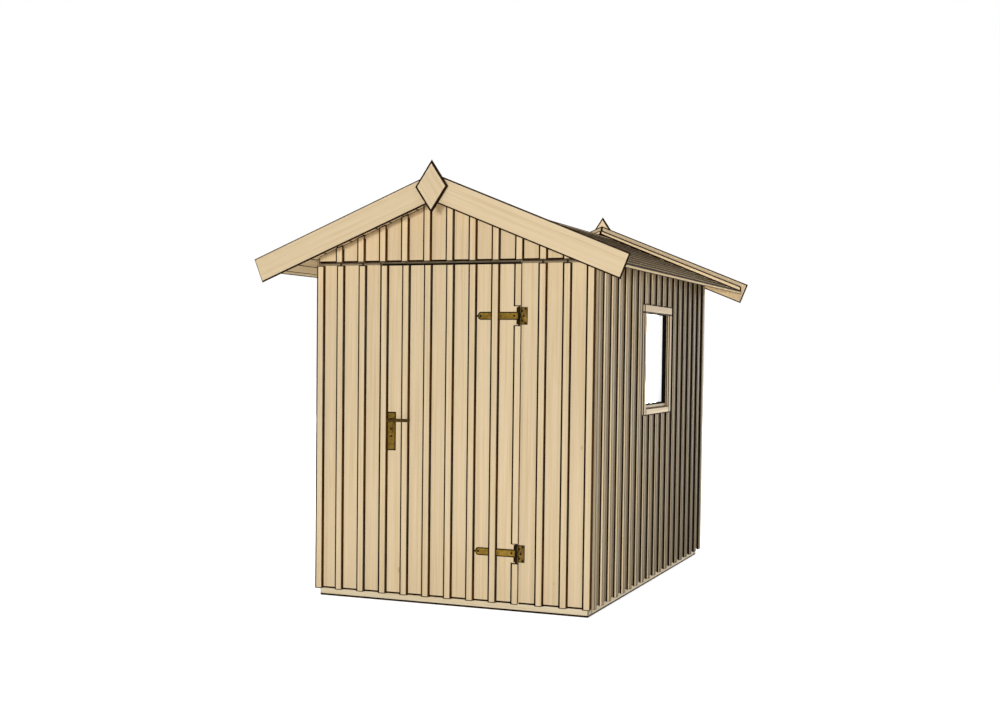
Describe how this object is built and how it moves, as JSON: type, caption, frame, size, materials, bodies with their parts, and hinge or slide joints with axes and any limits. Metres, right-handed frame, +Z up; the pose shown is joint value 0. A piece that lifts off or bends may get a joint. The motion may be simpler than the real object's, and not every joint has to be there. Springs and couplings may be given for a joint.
{
  "type": "garden shed",
  "caption": "Gabled timber garden shed with board-and-batten walls, a side window, bargeboards with diamond finials, and a ledged door on tee hinges with a lever handle.",
  "frame": {"origin": "on the ground under the middle of the shed", "axes": "+X to the right seen from the door front, +Y to the back along the ridge, +Z up"},
  "size_m": [2.342, 3.342, 2.6098],
  "materials": {
    "pale_timber": "planed, unpainted",
    "roof_timber": "planed, unpainted",
    "bearer_timber": "sawn, unpainted",
    "brass_fittings": "satin",
    "opal_pane": "opal, smooth"
  },
  "bodies": {
    "shed": {"back_battens": "pale_timber", "back_wall": "pale_timber", "bargeboard_back_left": "pale_timber", "bargeboard_back_right": "pale_timber", "bargeboard_front_left": "pale_timber", "bargeboard_front_right": "pale_timber", "corner_posts": "pale_timber", "door_posts": "pale_timber", "eave_strips": "roof_timber", "end_bearers": "bearer_timber", "end_headers": "pale_timber", "finial_back": "pale_timber", "finial_front": "pale_timber", "floor_deck": "pale_timber", "front_battens": "pale_timber", "front_wall_left": "pale_timber", "front_wall_right": "pale_timber", "gable_battens": "pale_timber", "gable_panels": "pale_timber", "hinge_leaves": "brass_fittings", "left_battens": "pale_timber", "left_wall": "pale_timber", "rafters_left": "pale_timber", "rafters_right": "pale_timber", "right_battens": "pale_timber", "right_wall_above": "pale_timber", "right_wall_back": "pale_timber", "right_wall_below": "pale_timber", "right_wall_front": "pale_timber", "roof_left": "roof_timber", "roof_right": "roof_timber", "sash_rails": "pale_timber", "sash_stiles": "pale_timber", "side_bearers": "bearer_timber", "side_plates": "pale_timber", "verge_fillets_left": "pale_timber", "verge_fillets_right": "pale_timber", "wall_rails": "pale_timber", "window_head": "pale_timber", "window_jambs": "pale_timber", "window_pane": "opal_pane", "window_sill": "pale_timber", "window_studs": "pale_timber"},
    "door": {"door_boards": "pale_timber", "door_battens": "pale_timber", "door_ledges": "pale_timber", "door_braces": "pale_timber", "hinge_straps": "brass_fittings", "handle_plates": "brass_fittings"},
    "lever": {"lever_handle": "brass_fittings"}
  },
  "joints": [
    {"name": "door_swing", "type": "hinge", "parent": "shed", "child": "door", "pos_m": [0.44, -1.389, 1.041], "axis": [0, 0, 1], "range_deg": [0, 110]},
    {"name": "lever_turn", "type": "hinge", "parent": "door", "child": "lever", "pos_m": [-0.383, -1.365, 1.107], "axis": [0, 1, 0], "range_deg": [0, 40], "stiffness_Nm_per_rad": 0.8}
  ]
}
